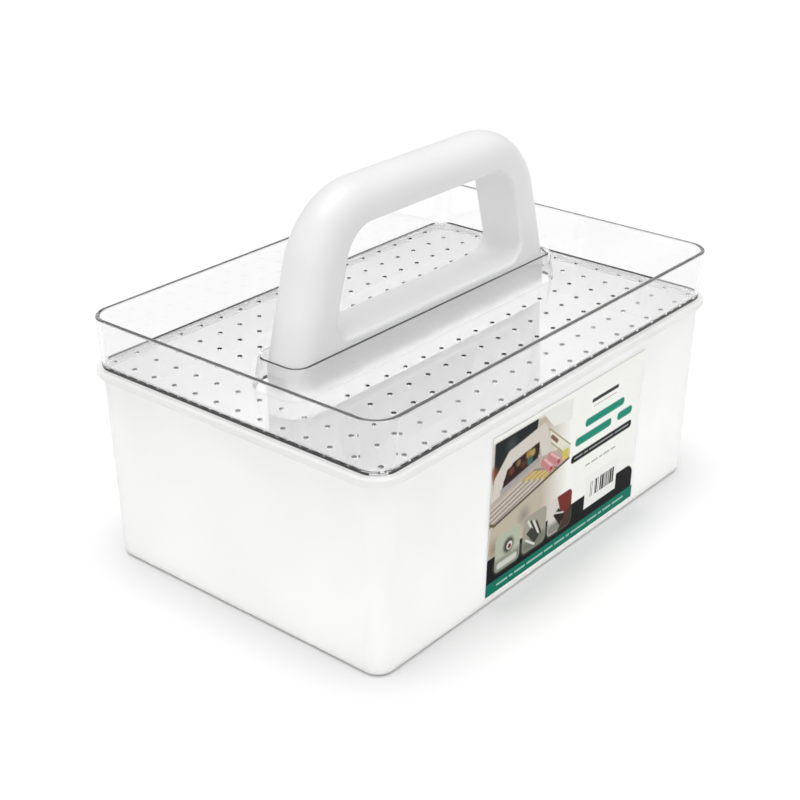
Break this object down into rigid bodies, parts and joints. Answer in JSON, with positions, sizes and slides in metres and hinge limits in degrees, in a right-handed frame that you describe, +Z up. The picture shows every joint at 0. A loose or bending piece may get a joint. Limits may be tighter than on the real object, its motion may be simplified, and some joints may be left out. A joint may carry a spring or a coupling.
{
  "type": "shower caddy",
  "caption": "Carry caddy for the bathroom: a drafted bin with an arched handle and a clear perforated tray that lifts off over the handle.",
  "frame": {"origin": "centre of the base, on the surface that the bin stands on", "axes": "+X along the length, +Y from the labelled front to the back, +Z up"},
  "size_m": [0.2622, 0.179, 0.1875],
  "materials": {
    "bin_plastic": "satin moulded polypropylene, white and slightly translucent",
    "tray_plastic": "clear polished polystyrene",
    "handle_plastic": "frosted translucent polypropylene",
    "label_film": "printed gloss film",
    "sticker_paper": "white paper with printed bars"
  },
  "bodies": {
    "caddy": {"bin": "bin_plastic", "handle_front": "handle_plastic", "handle_rear": "handle_plastic", "label": "label_film", "code_sticker": "sticker_paper"},
    "tray": {"tray": "tray_plastic"}
  },
  "joints": [
    {"name": "tray_lift", "type": "slide", "parent": "caddy", "child": "tray", "axis": [0, 0, 1], "range_m": [0, 0.1]}
  ]
}
